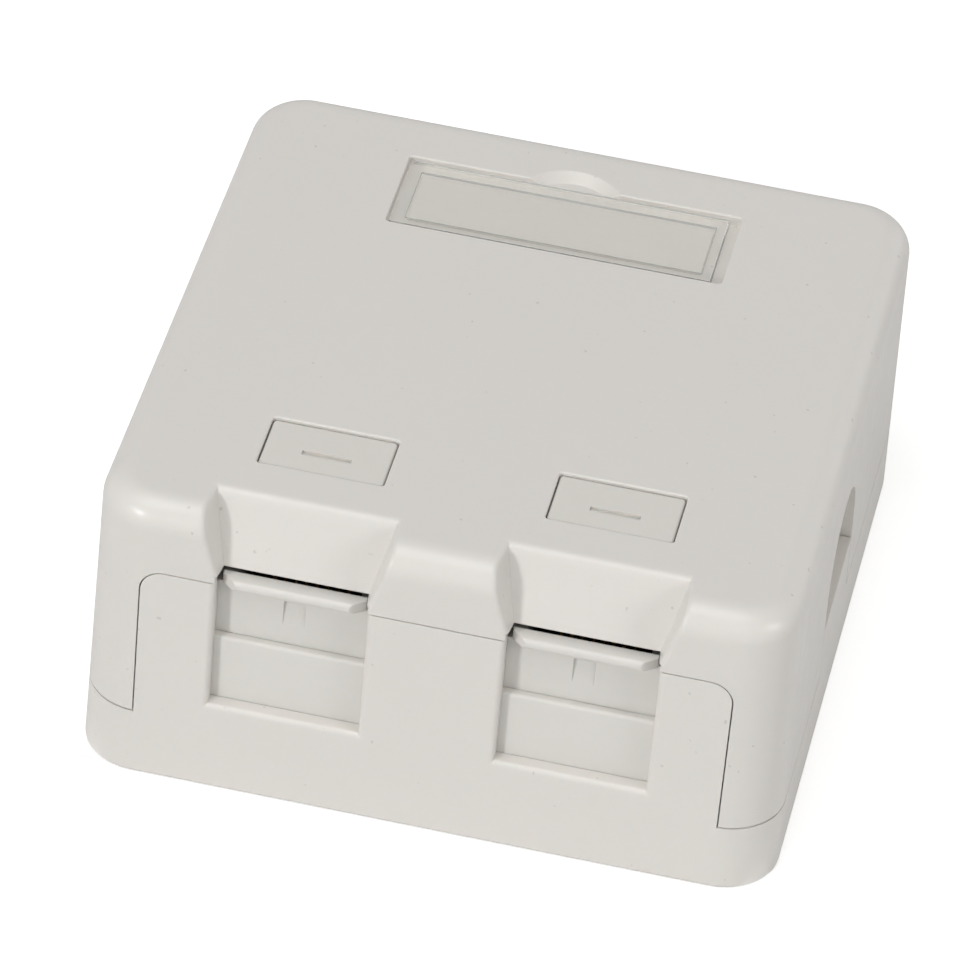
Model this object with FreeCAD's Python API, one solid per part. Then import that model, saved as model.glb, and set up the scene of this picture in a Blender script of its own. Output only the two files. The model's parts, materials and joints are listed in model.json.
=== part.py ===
import FreeCAD
import Part
import math
import os

from FreeCAD import Vector

# Two-port surface mount jack box: a base tray with an upright front panel, a lift-off
# cover, and two shuttered jack modules.
# Millimetres. X runs along the front, Y from the front to the back, Z up.
# The model is drawn with y = 0 on the front face and z = 0 on the wall side of the base.
# It is moved when saved, so that the origin is the middle of the footprint.

# ---- Outer form ----
WIDTH = 68.0
DEPTH = 69.6
HEIGHT = 32.5
DRAFT = 0.6                # lean of each side over the full height
CORNER_R = 5.6             # plan corners at the floor
TOP_EDGE_R = 2.9
FOOT_EDGE_R = 0.5
WALL = 2.0
PARTING_GAP = 0.12         # gap between the base and the cover
SEAM_HEIGHT = 7.5          # lower edge of the cover's skirt

# ---- Front panel and port windows ----
PANEL_HALF = 28.3
PANEL_TOP = 24.8
PANEL_CORNER_R = 2.2
PANEL_THICK = 1.7
PORT_PITCH = 27.8
WINDOW_HALF = 7.35
WINDOW_SILL = 10.15
WINDOW_EDGE = 0.5          # softened edge of the window

# ---- Finger scoops ----
SCOOP_FOOT = 25.6          # lower edge of the scoop's floor
SCOOP_FOOT_DEPTH = 2.5
SCOOP_TOP_DEPTH = 5.3
SCOOP_FOOT_HALF = 6.95
SCOOP_TOP_HALF = 8.7
SCOOP_FLARE = 0.125        # widening towards the front, for each mm of depth
SCOOP_SHELL = 1.8
SCOOP_EDGE_R = 0.55
SCOOP_BROW_R = 1.2         # soft edge between the scoop's floor and the top

# ---- Recesses in the top ----
ICON_LENGTH = 12.3
ICON_WIDTH = 7.0
ICON_OFFSET = 13.86
ICON_DEPTH_FROM_FRONT = 13.57
ICON_RECESS = 1.2
LABEL_HALF = 16.8
LABEL_FRONT = 50.1
LABEL_BACK = 61.1
LABEL_RECESS = 1.3
THUMB_R = 5.5
THUMB_REACH = 2.5          # how far the thumb notch goes behind the label
THUMB_DEPTH = 0.9
THUMB_SLOPE = 1.0          # how much narrower the notch is at its floor

# ---- Pieces that lie in the recesses ----
INLAY_DROP = 0.25          # how far their faces lie below the top
INLAY_EDGE_R = 0.2
ICON_FIT = 0.12
ICON_SLIT = (4.8, 0.6, 0.35)
ICON_SLIT_SHIFT = 0.6      # the slit lies this far in front of the tile's middle
LENS_FIT = 0.2
LENS_FOOT = 0.35           # ledge of the pocket's floor that the window rests above
LENS_END_GAP = 1.1         # the right-hand end stops this far short of the pocket's
CARD_SPACE = (-15.2, 14.65, 51.75, 59.4)
CARD_SPACE_DEPTH = 0.6
CARD_FIT = 0.2
CARD_THICK = 0.25
TOP_SHELL = 1.2            # plastic left under a recess
POCKET_CORNER_R = 0.4
RIM_R = 0.2                # softened rims of the recesses
SEAM_R = 0.15              # softened edges along the parting line

# ---- Side knock-outs ----
KNOCKOUT_CENTRE = 31.4
KNOCKOUT_HALF = 7.4
KNOCKOUT_TOP = 23.7
KNOCKOUT_RECESS = 1.4      # the rest of the cover's wall is the skin that breaks out
TONGUE_TOP = 13.6          # the base fills the arch flush up to here

# ---- Jack module ----
JACK_HALF = 7.25
FLANGE_HALF = 8.6          # the wider front plate sits behind the window
FLANGE_BACK = 4.1
FLANGE_TOP = 23.7
FLANGE_WINDOW_HALF = 7.45
JACK_FRONT = 1.75
JACK_FOOT = 5.0
LEDGE = 17.5               # top of the jack's lower face, where the open shutter stops
FACE_BACK = 3.5            # main front face, behind the shutter
TRAY_FOOT = 10.4
TRAY_TOP = 11.95
JACK_BACK = 32.0
HEAD_BACK = 19.0
HEAD_TOP = 28.0
HEAD_STEP = 5.8            # the taller head starts behind the scoop's wall
FRONT_TOP = 23.7
CAVITY_HALF = 5.95
CAVITY_FLOOR = 18.75
CAVITY_TOP = 26.0
LATCH_HALF = 3.2
LATCH_TOP = 27.2
CHAMBER_FRONT = 8.6
SLOT_HALF = 8.0
SLOT_FRONT = 2.6
SLOT_FOOT = 5.6
POCKET_HALF = 2.0
POCKET_BACK = 7.3
POCKET_FOOT = 6.0

# ---- Shutter and its spring ----
SHUTTER_HALF = 7.9
SHUTTER_FRONT = 2.65
SHUTTER_BACK = 3.45
SHUTTER_FOOT = 12.2
SHUTTER_TOP = 25.0
SHUTTER_REAR_TOP = 24.25   # the top slopes down to the back, clear of the scoop
LIP_FRONT = 1.0
LIP_R = 0.45
LIP_FOOT = 23.9
LIP_HALF = 6.9
LIP_FOOT_HALF = 5.45
NOTCH_HALF = 1.03
NOTCH_FOOT = 19.7
NOTCH_TOP = 22.6
NOTCH_DEPTH = 0.35
SEAT_TOP = 17.0            # spring seat, a foot behind the shutter
SEAT_FOOT = 16.0
SEAT_HALF = 1.8
SEAT_BACK = 6.9
SPRING_R = 1.35            # mean coil radius
SPRING_WIRE = 0.35
SPRING_TURNS = 6
SPRING_Y = 5.3

# ---- Contacts, board and wire terminals ----
CONTACTS = 8
CONTACT_PITCH = 1.016
CONTACT_WIDTH = 0.45
CONTACT_THICK = 0.35
CONTACT_PATH = [(16.9, 13.6), (16.9, 21.0), (15.9, 21.7), (9.9, 18.3), (9.4, 17.6)]
COMB_SLOT = (9.1, 17.5, 17.2, 22.4)       # y and z range that clears the contacts' slope
COMB_WELL = (16.5, 17.3, 13.6, 17.3)      # y and z range that clears their upright legs
INSERT_HALF = 5.85
INSERT_FRONT = 8.7
INSERT_BACK = 18.9
INSERT_WALL = 16.2         # the insert's upright closes the cavity behind here
BOARD_HALF = 6.1
BOARD_FRONT = 8.7
BOARD_BACK = 31.5
BOARD_FOOT = 12.0
BOARD_TOP = 13.6
BLOCK_HALF = 7.2
BLOCK_FRONT = 19.1
BLOCK_BACK = 31.9
BLOCK_SHELF = 17.0
RIDGE_INNER = 2.2
RIDGE_TOP = 23.5
WIRE_ROWS = 4
WIRE_PITCH = 2.9
WIRE_SLOT = 1.1
WIRE_SLOT_FOOT = 19.0
BLADE_X = 4.6
BLADE_THICK = 0.4
BLADE_HALF = 1.0
BLADE_FOOT = 13.6
BLADE_TOP = 22.9
BLADE_THROAT = 0.4         # width of the slot that grips the wire
BLADE_MOUTH = (0.9, 1.2)   # half width and depth of the lead-in
CAP_TOP = 26.4
CAP_CORNER_R = 0.8
CAP_EDGE_R = 0.5
CAP_FIN_HALF = 1.6
CAP_PRESSER = (5.1, 6.9, 0.9, 21.5)       # inner and outer |x|, width and foot
CAP_GROOVES = 3
CAP_GROOVE = (5.0, 0.8, 0.5, 2.4)         # half length, width, depth and pitch

# ---- Inside the base ----
FLOOR = 2.0
UPSTAND_GAP = 0.25         # between the upstand and the inside of the cover's skirt
UPSTAND_THICK = 1.1
UPSTAND_RISE = 3.0
UPSTAND_START = 8.0        # it begins behind the front panel
CRADLE_TOP = 10.35
RIB_OFFSET = 5.0           # ribs under each jack, to both sides of its middle
RIB_THICK = 1.5
RIB_FRONT = 10.0
RIB_BACK = 31.0
GUIDE_THICK = 1.0          # walls beside each jack
GUIDE_TOP = 14.0
GUIDE_FRONT = 8.0
GUIDE_BACK = 30.0
STOP_HALF = 5.0            # wall behind each jack
STOP_THICK = 1.4
STOP_TOP = 13.4
JACK_FIT = 0.1
SCREW_X = 20.0
SCREW_Y = 44.0
SCREW_R = 2.0
SCREW_HEAD_R = 4.0
SCREW_BOSS_R = 5.5
SCREW_BOSS_TOP = 4.0
ENTRY_HALF = 12.0          # cable entry through the floor
ENTRY_FRONT = 50.0
ENTRY_BACK = 60.0
ENTRY_R = 3.0
TIE_X = 9.5
TIE_Y = 40.0
TIE_ARCH = (3.0, 2.5, 6.0)      # half width, half depth and top
TIE_TUNNEL = (1.7, 4.4)         # half width and top

BEYOND = 5.0               # how far cutting shapes run past the body


def block(low, high):
    """A box between two opposite corners."""
    size = [high[i] - low[i] for i in range(3)]
    return Part.makeBox(size[0], size[1], size[2], Vector(*low))


def prism(outline, half):
    """A (y, z) outline pushed both ways along X."""
    points = [Vector(-half, y, z) for y, z in outline]
    face = Part.Face(Part.makePolygon(points + points[:1]))
    return face.extrude(Vector(2 * half, 0, 0))


def plan_prism(outline, low, high):
    """An (x, y) outline pushed up from one height to another."""
    points = [Vector(x, y, low) for x, y in outline]
    face = Part.Face(Part.makePolygon(points + points[:1]))
    return face.extrude(Vector(0, 0, high - low))


def disc(radius, x, y, low, high):
    """An upright cylinder."""
    return Part.makeCylinder(radius, high - low, Vector(x, y, low))


def soften(shape, radius, wanted):
    """Round the edges that the test picks by their middle point and direction."""
    edges = []
    for edge in shape.Edges:
        middle = edge.valueAt((edge.FirstParameter + edge.LastParameter) / 2)
        if wanted(edge, middle):
            edges.append(edge)
    return shape.makeFillet(radius, edges)


def soften_each(shape, radius_of):
    """Round edges by different radii at once; the rule gives None for an edge that stays sharp."""
    work = FreeCAD.newDocument("rounding")
    source = work.addObject("Part::Feature", "source")
    source.Shape = shape
    rows = []
    for number, edge in enumerate(shape.Edges, 1):
        middle = edge.valueAt((edge.FirstParameter + edge.LastParameter) / 2)
        radius = radius_of(edge, middle)
        if radius:
            rows.append((number, radius, radius))
    rounding = work.addObject("Part::Fillet", "rounding")
    rounding.Base = source
    rounding.Edges = rows
    work.recompute()
    rounded = rounding.Shape.copy()
    FreeCAD.closeDocument(work.Name)
    return rounded


def upright(edge):
    """True when an edge runs mainly along Z."""
    box = edge.BoundBox
    return box.ZLength > max(box.XLength, box.YLength)


def near(value, target, within=0.02):
    return abs(value - target) < within


def lean(z):
    """How far the drafted sides have moved in at a height."""
    return DRAFT * z / HEIGHT


def envelope(inset=0.0, foot=0.0, top=HEIGHT):
    """The box's outer form, or the form a wall thickness inside it."""
    low = inset + lean(foot)
    high = inset + lean(top)
    half = WIDTH / 2
    solid = Part.makeWedge(-half + low, foot, low, high, -half + high,
                           half - low, top, DEPTH - low, DEPTH - high, half - high)
    solid.rotate(Vector(0, 0, 0), Vector(1, 0, 0), 90)
    solid.translate(Vector(0, DEPTH, 0))
    corner = max(CORNER_R - inset, 1.0)
    solid = soften(solid, corner, lambda edge, middle: upright(edge))
    rim = max(TOP_EDGE_R - inset, 0.6)
    return soften(solid, rim, lambda edge, middle: middle.z > top - 0.01)


def panel_zone(gap):
    """The space of the base's front panel, or the cover's cut-out around it."""
    half = PANEL_HALF + gap
    top = PANEL_TOP + gap
    back = WALL + 1.0 if gap else PANEL_THICK
    zone = block((-half, -BEYOND, -BEYOND), (half, back, top))
    corners = soften(zone, PANEL_CORNER_R + gap,
                     lambda edge, middle: middle.z > top - 0.01 and near(abs(middle.x), half))
    return corners


def port_centres():
    return {"left": -PORT_PITCH / 2, "right": PORT_PITCH / 2}


def scoop_half(y, z):
    """Half width of a scoop at a depth and height: the side walls are planes."""
    rise = (SCOOP_TOP_HALF - SCOOP_FOOT_HALF) + SCOOP_FLARE * (SCOOP_TOP_DEPTH - SCOOP_FOOT_DEPTH)
    slope = rise / (HEIGHT - SCOOP_FOOT)
    return SCOOP_FOOT_HALF + slope * (z - SCOOP_FOOT) - SCOOP_FLARE * (y - SCOOP_FOOT_DEPTH)


def scoop_floor(z):
    """Depth of the scoop's sloping floor at a height."""
    slope = (SCOOP_TOP_DEPTH - SCOOP_FOOT_DEPTH) / (HEIGHT - SCOOP_FOOT)
    return SCOOP_FOOT_DEPTH + slope * (z - SCOOP_FOOT)


def scoop_cutter(grow=0.0):
    """The wedge a scoop takes out of the cover, or the outside of the shell behind it."""
    foot = SCOOP_FOOT - grow
    top = HEIGHT + BEYOND
    sections = []
    for z in (foot, top):
        back = scoop_floor(z) + grow
        front = -BEYOND
        points = [Vector(-scoop_half(front, z) - grow, front, z),
                  Vector(scoop_half(front, z) + grow, front, z),
                  Vector(scoop_half(back, z) + grow, back, z),
                  Vector(-scoop_half(back, z) - grow, back, z)]
        sections.append(Part.makePolygon(points + points[:1]))
    return Part.makeLoft(sections, True, True)


def on_inner_rim(middle):
    """True for a point well inside the top face, away from its outer edge."""
    return abs(middle.x) < WIDTH / 2 - 6.0 and middle.y < DEPTH - 4.5


def on_outside(middle):
    """True for a point on the outer sides of the box."""
    slope = lean(middle.z) + 0.01
    corner = abs(middle.x) > WIDTH / 2 - CORNER_R and not CORNER_R < middle.y < DEPTH - CORNER_R
    if corner:
        centre_y = CORNER_R if middle.y < CORNER_R else DEPTH - CORNER_R
        reach = math.hypot(abs(middle.x) - WIDTH / 2 + CORNER_R, middle.y - centre_y)
        return reach > CORNER_R - slope - 0.1
    edge_x = near(abs(middle.x), WIDTH / 2 - slope, 0.03)
    edge_y = middle.y < slope + 0.03 or middle.y > DEPTH - slope - 0.03
    return edge_x or edge_y


def thumb_notch():
    """A shallow dish behind the label, for lifting its window."""
    centre = LABEL_BACK + THUMB_REACH - THUMB_R
    return Part.makeCone(THUMB_R - THUMB_SLOPE, THUMB_R, THUMB_DEPTH, Vector(0, centre, HEIGHT - THUMB_DEPTH))


def label_recess(inset, depth):
    """The label's pocket, or a body that fits it."""
    pocket = block((-LABEL_HALF + inset, LABEL_FRONT + inset, HEIGHT - depth),
                   (LABEL_HALF - inset, LABEL_BACK - inset, HEIGHT + BEYOND))
    return soften(pocket, POCKET_CORNER_R, lambda edge, middle: upright(edge))


def icon_recess(x, inset, depth, top):
    """An icon tile's pocket, or a body that fits it."""
    half_x = ICON_LENGTH / 2 - inset
    half_y = ICON_WIDTH / 2 - inset
    pocket = block((x - half_x, ICON_DEPTH_FROM_FRONT - half_y, HEIGHT - depth),
                   (x + half_x, ICON_DEPTH_FROM_FRONT + half_y, top))
    return soften(pocket, POCKET_CORNER_R, lambda edge, middle: upright(edge))


def side_slab(side, depth):
    """X range of a slab that reaches a depth into one side wall, and far outside it."""
    wall_face = WIDTH / 2 - lean(KNOCKOUT_TOP / 2)
    return sorted((side * (wall_face - depth), side * (wall_face + BEYOND)))


def knockout_arch(side, depth, foot):
    """An arch-shaped block that goes a depth into one side wall, above a height."""
    low_x, high_x = side_slab(side, depth)
    spring = KNOCKOUT_TOP - KNOCKOUT_HALF
    legs = block((low_x, KNOCKOUT_CENTRE - KNOCKOUT_HALF, foot),
                 (high_x, KNOCKOUT_CENTRE + KNOCKOUT_HALF, spring))
    crown = Part.makeCylinder(KNOCKOUT_HALF, high_x - low_x, Vector(low_x, KNOCKOUT_CENTRE, spring),
                              Vector(1, 0, 0))
    return legs.fuse(crown)


def tongue_slot(side, gap):
    """The space of the base's tongue in one side wall, or the cover's slot around it."""
    low_x, high_x = side_slab(side, WALL + 1.0)
    half = KNOCKOUT_HALF - 0.12 + gap
    return block((low_x, KNOCKOUT_CENTRE - half, SEAM_HEIGHT - 1.0),
                 (high_x, KNOCKOUT_CENTRE + half, TONGUE_TOP + gap))


def make_cover():
    outer = envelope()
    cutters = []
    for x in port_centres().values():
        scoop = scoop_cutter()
        scoop.translate(Vector(x, 0, 0))
        cutters.append(scoop)
    shell = outer.cut(Part.makeCompound(cutters))

    def in_scoop(middle):
        return min(abs(middle.x - x) for x in port_centres().values()) < SCOOP_TOP_HALF + 0.8

    def on_brow(edge, middle):
        return in_scoop(middle) and near(middle.y, SCOOP_TOP_DEPTH, 0.05) and near(middle.z, HEIGHT)

    def on_mouth(edge, middle):
        outside = middle.y < scoop_floor(middle.z) - 0.3 and middle.z > SCOOP_FOOT + 0.3
        offsets = [abs(middle.x - x) for x in port_centres().values()]
        return outside and near(min(offsets), scoop_half(middle.y, middle.z), 0.06)

    def scoop_radius(edge, middle):
        if on_brow(edge, middle):
            return SCOOP_BROW_R
        return SCOOP_EDGE_R if on_mouth(edge, middle) else None

    shell = soften_each(shell, scoop_radius)

    hollow = envelope(WALL, -BEYOND, HEIGHT - WALL)
    scoop_shells = []
    for x in port_centres().values():
        backing = scoop_cutter(SCOOP_SHELL)
        backing.translate(Vector(x, 0, 0))
        scoop_shells.append(backing)
    label_backing = block((-LABEL_HALF - WALL, LABEL_FRONT - WALL, HEIGHT - LABEL_RECESS - TOP_SHELL),
                          (LABEL_HALF + WALL, LABEL_BACK + WALL, HEIGHT))
    hollow = hollow.cut(Part.makeCompound(scoop_shells)).cut(label_backing)
    for x in (-ICON_OFFSET, ICON_OFFSET):
        hollow = hollow.cut(icon_recess(x, -WALL, ICON_RECESS + TOP_SHELL, HEIGHT))
    shell = shell.cut(hollow)

    far = 2 * WIDTH
    shell = shell.cut(block((-far, -far, -BEYOND), (far, far, SEAM_HEIGHT + PARTING_GAP)))
    shell = shell.cut(panel_zone(PARTING_GAP))
    for x in port_centres().values():
        shell = shell.cut(block((x - WINDOW_HALF, -BEYOND, SEAM_HEIGHT),
                                (x + WINDOW_HALF, SCOOP_TOP_DEPTH, SCOOP_FOOT)))
        clear = FLANGE_HALF + 0.3
        shell = shell.cut(block((x - clear, JACK_FRONT - 0.2, SEAM_HEIGHT),
                                (x + clear, SCOOP_TOP_DEPTH, FLANGE_TOP + 0.3)))
    shell = shell.cut(label_recess(0.0, LABEL_RECESS))
    shell = shell.cut(thumb_notch())
    for x in (-ICON_OFFSET, ICON_OFFSET):
        shell = shell.cut(icon_recess(x, 0.0, ICON_RECESS, HEIGHT + BEYOND))

    def on_recess_rim(edge, middle):
        behind_scoops = ICON_DEPTH_FROM_FRONT - ICON_WIDTH / 2 - 0.1
        return near(middle.z, HEIGHT, 0.001) and middle.y > behind_scoops and on_inner_rim(middle)

    shell = soften(shell, RIM_R, on_recess_rim)
    seam = SEAM_HEIGHT + PARTING_GAP
    shell = soften(shell, SEAM_R, lambda edge, middle: near(middle.z, seam, 0.001) and on_outside(middle))

    for side in (-1, 1):
        shell = shell.cut(knockout_arch(side, KNOCKOUT_RECESS, TONGUE_TOP))
        shell = shell.cut(tongue_slot(side, PARTING_GAP))
    return shell


def make_base():
    outer = envelope()
    outer = soften(outer, FOOT_EDGE_R, lambda edge, middle: near(middle.z, 0.0))
    far = 2 * WIDTH
    low = outer.common(block((-far, -far, -BEYOND), (far, far, SEAM_HEIGHT)))
    low = low.cut(envelope(WALL, FLOOR, HEIGHT))
    panel = outer.common(panel_zone(0.0))
    walls = outer.cut(envelope(WALL, FLOOR, HEIGHT))
    tongues = [walls.common(tongue_slot(side, 0.0)) for side in (-1, 1)]
    base = low.fuse([panel] + tongues)

    # A thin upstand inside the cover's skirt, left out at the front and at the knock-outs.
    inner_face = envelope(WALL + UPSTAND_GAP + UPSTAND_THICK, 0.0, HEIGHT + 1.0)
    rim = envelope(WALL + UPSTAND_GAP, FLOOR, HEIGHT).cut(inner_face)
    rim = rim.common(block((-far, UPSTAND_START, FLOOR), (far, far, SEAM_HEIGHT + UPSTAND_RISE)))
    for side in (-1, 1):
        low_x, high_x = side_slab(side, 2 * CORNER_R)
        rim = rim.cut(block((low_x, KNOCKOUT_CENTRE - KNOCKOUT_HALF, SEAM_HEIGHT),
                            (high_x, KNOCKOUT_CENTRE + KNOCKOUT_HALF, HEIGHT)))
    footing = envelope(WALL - 0.1, FLOOR, HEIGHT).cut(inner_face)
    footing = footing.common(block((-far, UPSTAND_START, FLOOR), (far, far, SEAM_HEIGHT - 1.0)))
    base = base.fuse([rim, footing])

    for x in port_centres().values():
        base = base.cut(block((x - WINDOW_HALF, -BEYOND, WINDOW_SILL),
                              (x + WINDOW_HALF, PANEL_THICK + 1.0, HEIGHT)))
        for side in (-1, 1):
            rib = x + side * RIB_OFFSET
            base = base.fuse(block((rib - RIB_THICK / 2, RIB_FRONT, FLOOR),
                                   (rib + RIB_THICK / 2, RIB_BACK, CRADLE_TOP)))
            near_wall = JACK_HALF + JACK_FIT
            guide = sorted((x + side * near_wall, x + side * (near_wall + GUIDE_THICK)))
            base = base.fuse(block((guide[0], GUIDE_FRONT, FLOOR), (guide[1], GUIDE_BACK, GUIDE_TOP)))
        stop = JACK_BACK + JACK_FIT
        base = base.fuse(block((x - STOP_HALF, stop, FLOOR), (x + STOP_HALF, stop + STOP_THICK, STOP_TOP)))
        room = FLANGE_HALF + JACK_FIT
        base = base.cut(block((x - room, PANEL_THICK, JACK_FOOT - JACK_FIT),
                              (x + room, WALL + 1.0, SEAM_HEIGHT + JACK_FIT)))

    def on_window_edge(edge, middle):
        for x in port_centres().values():
            on_side = near(abs(middle.x - x), WINDOW_HALF) and upright(edge)
            on_sill = near(middle.z, WINDOW_SILL) and near(middle.x, x, 0.5)
            if middle.y < 1.0 and (on_side or on_sill):
                return True
        return False

    base = soften(base, WINDOW_EDGE, on_window_edge)

    for side in (-1, 1):
        x = side * SCREW_X
        base = base.fuse(disc(SCREW_BOSS_R, x, SCREW_Y, FLOOR - 0.5, SCREW_BOSS_TOP))
        base = base.cut(disc(SCREW_R, x, SCREW_Y, -BEYOND, HEIGHT))
        sink = Part.makeCone(SCREW_R, SCREW_HEAD_R, SCREW_HEAD_R - SCREW_R,
                             Vector(x, SCREW_Y, SCREW_BOSS_TOP - SCREW_HEAD_R + SCREW_R))
        base = base.cut(sink)
        base = base.fuse(cable_tie_anchor(side * TIE_X, TIE_Y))
    entry = block((-ENTRY_HALF, ENTRY_FRONT, -BEYOND), (ENTRY_HALF, ENTRY_BACK, HEIGHT))
    base = base.cut(soften(entry, ENTRY_R, lambda edge, middle: upright(edge)))
    return base.removeSplitter()


def cable_tie_anchor(x, y):
    """A bridge on the floor that a cable tie passes under."""
    half, reach, top = TIE_ARCH
    tunnel_half, tunnel_top = TIE_TUNNEL
    arch = block((x - half, y - reach, FLOOR - 0.5), (x + half, y + reach, top))
    return arch.cut(block((x - tunnel_half, y - BEYOND, FLOOR), (x + tunnel_half, y + BEYOND, tunnel_top)))


def make_label_window():
    """Clear plate over the card; its right-hand end stops short of the pocket's."""
    face = HEIGHT - INLAY_DROP
    plate = label_recess(LENS_FIT, LABEL_RECESS - LENS_FOOT)
    plate = plate.cut(block((LABEL_HALF - LENS_END_GAP, 0.0, 0.0), (WIDTH, DEPTH, 2 * HEIGHT)))
    plate = plate.cut(block((-WIDTH, 0.0, face), (WIDTH, DEPTH, 2 * HEIGHT)))
    plate = soften(plate, INLAY_EDGE_R, lambda edge, middle: near(middle.z, face))
    left, right, front, back = CARD_SPACE
    return plate.cut(block((left, front, 0.0), (right, back, HEIGHT - LABEL_RECESS + CARD_SPACE_DEPTH)))


def make_label_card():
    """Paper strip in the window's underside pocket."""
    left, right, front, back = CARD_SPACE
    foot = HEIGHT - LABEL_RECESS
    return block((left + CARD_FIT, front + CARD_FIT, foot),
                 (right - CARD_FIT, back - CARD_FIT, foot + CARD_THICK))


def make_icon_tile(x):
    """Push-in tile above a port, with a slit to prise it out by."""
    face = HEIGHT - INLAY_DROP
    tile = icon_recess(x, ICON_FIT, ICON_RECESS, face)
    tile = soften(tile, INLAY_EDGE_R, lambda edge, middle: near(middle.z, face))
    length, width, depth = ICON_SLIT
    y = ICON_DEPTH_FROM_FRONT - ICON_SLIT_SHIFT
    return tile.cut(block((x - length / 2, y - width / 2, face - depth),
                          (x + length / 2, y + width / 2, HEIGHT)))


def make_jack_housing():
    """One jack module, centred on x = 0."""
    outline = [(JACK_FRONT, JACK_FOOT), (CHAMBER_FRONT + 0.3, JACK_FOOT), (CHAMBER_FRONT + 0.3, TRAY_FOOT),
               (JACK_BACK, TRAY_FOOT), (JACK_BACK, TRAY_TOP), (HEAD_BACK, TRAY_TOP), (HEAD_BACK, HEAD_TOP),
               (HEAD_STEP, HEAD_TOP), (HEAD_STEP, FRONT_TOP), (FACE_BACK, FRONT_TOP), (FACE_BACK, LEDGE),
               (JACK_FRONT, LEDGE)]
    body = prism(outline, JACK_HALF)
    flange = block((-FLANGE_HALF, JACK_FRONT, JACK_FOOT), (FLANGE_HALF, FLANGE_BACK, FLANGE_TOP))
    window = block((-FLANGE_WINDOW_HALF, JACK_FRONT - 1.0, LEDGE), (FLANGE_WINDOW_HALF, FACE_BACK, HEIGHT))
    body = body.fuse(flange.cut(window)).removeSplitter()
    body = soften(body, 0.35, lambda edge, middle: near(middle.y, JACK_FRONT) and near(middle.z, LEDGE))
    cuts = [block((-SLOT_HALF, SLOT_FRONT, SLOT_FOOT), (SLOT_HALF, FACE_BACK, HEIGHT)),
            block((-POCKET_HALF, FACE_BACK - 0.1, POCKET_FOOT),
                  (POCKET_HALF, POCKET_BACK, CAVITY_FLOOR + 0.1)),
            block((-CAVITY_HALF, FACE_BACK - 0.1, CAVITY_FLOOR), (CAVITY_HALF, HEAD_BACK + 1.0, CAVITY_TOP)),
            block((-LATCH_HALF, HEAD_STEP - 0.1, CAVITY_FLOOR), (LATCH_HALF, INSERT_WALL - 0.2, LATCH_TOP)),
            block((-BOARD_HALF - 0.1, CHAMBER_FRONT, TRAY_TOP),
                  (BOARD_HALF + 0.1, HEAD_BACK + 1.0, CAVITY_FLOOR + 0.1))]
    for cutter in cuts:
        body = body.cut(cutter)
    for side in (-1, 1):
        rail = sorted((side * (BOARD_HALF + 0.1), side * JACK_HALF))
        body = body.fuse(block((rail[0], HEAD_BACK, TRAY_TOP), (rail[1], JACK_BACK, BOARD_TOP)))
    return body.removeSplitter()


def make_shutter():
    """Dust shutter: a plate with a finger lip in front and a spring seat behind."""
    section = [(SHUTTER_FRONT, SHUTTER_FOOT), (SHUTTER_BACK, SHUTTER_FOOT), (SHUTTER_BACK, SHUTTER_REAR_TOP),
               (SHUTTER_FRONT + 0.05, SHUTTER_TOP), (SHUTTER_FRONT, SHUTTER_TOP)]
    plate = prism(section, SHUTTER_HALF)
    for side in (-1, 1):
        end = sorted((side * (LIP_HALF + 0.1), side * (SHUTTER_HALF + 1.0)))
        plate = plate.cut(block((end[0], SHUTTER_FRONT - 1.0, FLANGE_TOP),
                                (end[1], SHUTTER_BACK + 1.0, HEIGHT)))
    lip = block((-LIP_HALF, LIP_FRONT, LIP_FOOT), (LIP_HALF, SHUTTER_FRONT, SHUTTER_TOP))
    bevel = LIP_HALF - LIP_FOOT_HALF
    for side in (-1, 1):
        corner = [(side * LIP_FOOT_HALF, LIP_FRONT - 0.01), (side * LIP_HALF, LIP_FRONT - 0.01),
                  (side * LIP_HALF, LIP_FRONT + 0.8 * bevel)]
        lip = lip.cut(plan_prism(corner, LIP_FOOT - 1.0, SHUTTER_TOP + 1.0))
    lip = soften(lip, LIP_R, lambda edge, middle: near(middle.y, LIP_FRONT) and not upright(edge))
    seat = block((-SEAT_HALF, SHUTTER_BACK - 0.2, SEAT_FOOT), (SEAT_HALF, SEAT_BACK, SEAT_TOP))
    ramp = [(SHUTTER_FRONT - 1.0, NOTCH_FOOT), (SHUTTER_FRONT, NOTCH_FOOT),
            (SHUTTER_FRONT + NOTCH_DEPTH, NOTCH_TOP), (SHUTTER_FRONT - 1.0, NOTCH_TOP)]
    notch = prism(ramp, NOTCH_HALF)
    return plate.fuse([lip, seat]).cut(notch).removeSplitter()


def make_spring():
    """Compression spring between the housing's pocket and the shutter's seat."""
    low = POCKET_FOOT + 0.05 + SPRING_WIRE / 2
    high = SEAT_FOOT - 0.05 - SPRING_WIRE / 2
    helix = Part.makeHelix((high - low) / SPRING_TURNS, high - low, SPRING_R)
    circle = Part.makeCircle(SPRING_WIRE / 2, Vector(SPRING_R, 0, 0), Vector(0, 1, 0))
    coil = Part.Wire(helix).makePipeShell([Part.Wire(circle)], True, True)
    coil.translate(Vector(0, SPRING_Y, low))
    return coil


def strip(points, thickness):
    """Outline of a bent strip: the path moved half a thickness to each side."""
    sides = ([], [])
    for i, point in enumerate(points):
        before = points[max(i - 1, 0)]
        after = points[min(i + 1, len(points) - 1)]
        first = math.atan2(point[1] - before[1], point[0] - before[0]) if i else None
        second = math.atan2(after[1] - point[1], after[0] - point[0]) if i < len(points) - 1 else first
        first = second if first is None else first
        turn = (second - first) / 2
        angle = first + turn + math.pi / 2
        reach = thickness / 2 / math.cos(turn)
        for side, sign in zip(sides, (1, -1)):
            shift = sign * reach
            side.append((point[0] + shift * math.cos(angle), point[1] + shift * math.sin(angle)))
    return sides[0] + sides[1][::-1]


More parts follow.
